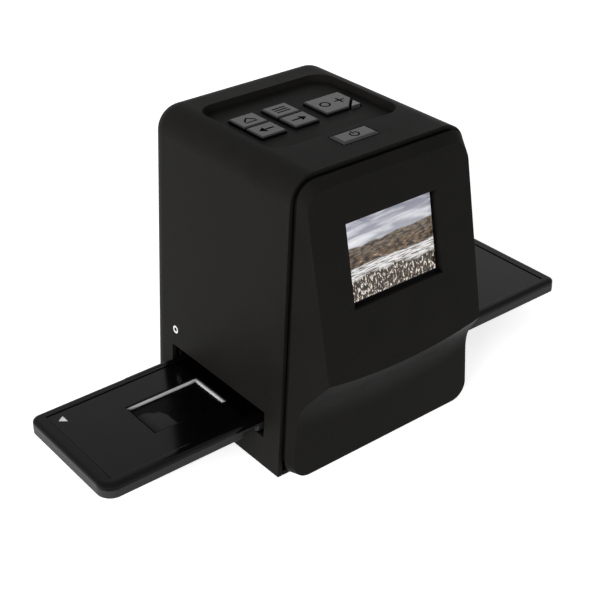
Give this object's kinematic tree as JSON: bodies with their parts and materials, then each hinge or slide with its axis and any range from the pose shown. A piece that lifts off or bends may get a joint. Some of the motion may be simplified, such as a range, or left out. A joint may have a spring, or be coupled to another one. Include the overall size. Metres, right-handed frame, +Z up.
{
  "type": "film negative scanner",
  "caption": "Upright desktop film scanner: tapered two-shell housing, tilted display, sprung keys in a top tray, and a flat slide holder that slides through from side to side.",
  "frame": {"origin": "middle of the part's bounding box at the surface that it stands on", "axes": "+X to the viewer's right along the slide holder, +Y from the display to the back, +Z up"},
  "size_m": [0.2668, 0.12, 0.1409],
  "materials": {
    "shell_black": "fine matte grain",
    "bezel_black": "fine matte grain",
    "foot_rubber": "soft matte",
    "steel_screw": "blackened screw heads",
    "screen": "smooth screen with a picture",
    "light_guide": "white light guide",
    "sheet_metal": "bare sheet",
    "board_green": "solder resist",
    "chip_black": "moulded packages",
    "inner_black": "light-tight matte black",
    "inner_white": "white reflector",
    "lamp": "lamp packages",
    "barrel": "black anodised",
    "optical_glass": "coated glass",
    "clear_pipe": "grey translucent lens",
    "holder_base": "satin black-grey",
    "holder_cover": "polished black",
    "holder_inlay": "polished black panel",
    "slide_mount": "white slide mounts",
    "film": "dark film",
    "key_black": "polished black key caps that mirror the pale room",
    "plunger": "switch plungers"
  },
  "bodies": {
    "housing": {"base_plate": "shell_black", "base_screws": "steel_screw", "board_chips": "chip_black", "card_socket": "sheet_metal", "detent_rivets": "sheet_metal", "detent_spring": "sheet_metal", "diffuser": "light_guide", "display_bracket": "sheet_metal", "display_frame": "sheet_metal", "display_glass": "screen", "display_light_guide": "light_guide", "display_screws": "steel_screw", "film_channel": "inner_black", "front_bezel": "bezel_black", "front_lens": "optical_glass", "gate_screws": "steel_screw", "hood_screws": "steel_screw", "image_sensor": "chip_black", "indicator_lamp": "lamp", "indicator_light_pipe": "clear_pipe", "infrared_filter": "optical_glass", "key_board": "board_green", "key_board_screws": "steel_screw", "key_switches": "chip_black", "lamp_board": "board_green", "lamps": "lamp", "lens_barrel": "barrel", "lens_mount": "inner_black", "light_box": "inner_white", "main_board": "board_green", "main_board_screws": "steel_screw", "main_shell": "shell_black", "optics_hood": "inner_black", "rear_lens": "optical_glass", "rubber_feet": "foot_rubber", "sensor_board": "board_green", "sensor_screws": "steel_screw", "upper_gate": "inner_black", "usb_socket": "sheet_metal", "video_jack": "chip_black"},
    "holder": {"holder_base": "holder_base", "holder_cover": "holder_cover", "cover_inlay": "holder_inlay", "hinge_pins": "sheet_metal", "slide_mounts": "slide_mount", "slide_films": "film"},
    "upper_left_key": {"upper_left_key": "key_black", "upper_left_plunger": "plunger"},
    "lower_left_key": {"lower_left_key": "key_black", "lower_left_plunger": "plunger"},
    "upper_middle_key": {"upper_middle_key": "key_black", "upper_middle_plunger": "plunger"},
    "lower_middle_key": {"lower_middle_key": "key_black", "lower_middle_plunger": "plunger"},
    "wide_key": {"wide_key": "key_black", "wide_plunger": "plunger"},
    "power_key": {"power_key": "key_black", "power_plunger": "plunger"}
  },
  "joints": [
    {"name": "holder_slide", "type": "slide", "parent": "housing", "child": "holder", "axis": [1, 0, 0], "range_m": [-0.075, 0.075]},
    {"name": "upper_left_press", "type": "slide", "parent": "housing", "child": "upper_left_key", "axis": [0, 0, -1], "range_m": [0, 0.0008], "stiffness_N_per_m": 1200, "springref_m": -0.0004},
    {"name": "lower_left_press", "type": "slide", "parent": "housing", "child": "lower_left_key", "axis": [0, 0, -1], "range_m": [0, 0.0008], "stiffness_N_per_m": 1200, "springref_m": -0.0004},
    {"name": "upper_middle_press", "type": "slide", "parent": "housing", "child": "upper_middle_key", "axis": [0, 0, -1], "range_m": [0, 0.0008], "stiffness_N_per_m": 1200, "springref_m": -0.0004},
    {"name": "lower_middle_press", "type": "slide", "parent": "housing", "child": "lower_middle_key", "axis": [0, 0, -1], "range_m": [0, 0.0008], "stiffness_N_per_m": 1200, "springref_m": -0.0004},
    {"name": "wide_press", "type": "slide", "parent": "housing", "child": "wide_key", "axis": [0, 0, -1], "range_m": [0, 0.0008], "stiffness_N_per_m": 1200, "springref_m": -0.0004},
    {"name": "power_press", "type": "slide", "parent": "housing", "child": "power_key", "axis": [0, 0, -1], "range_m": [0, 0.0008], "stiffness_N_per_m": 1200, "springref_m": -0.0004}
  ]
}
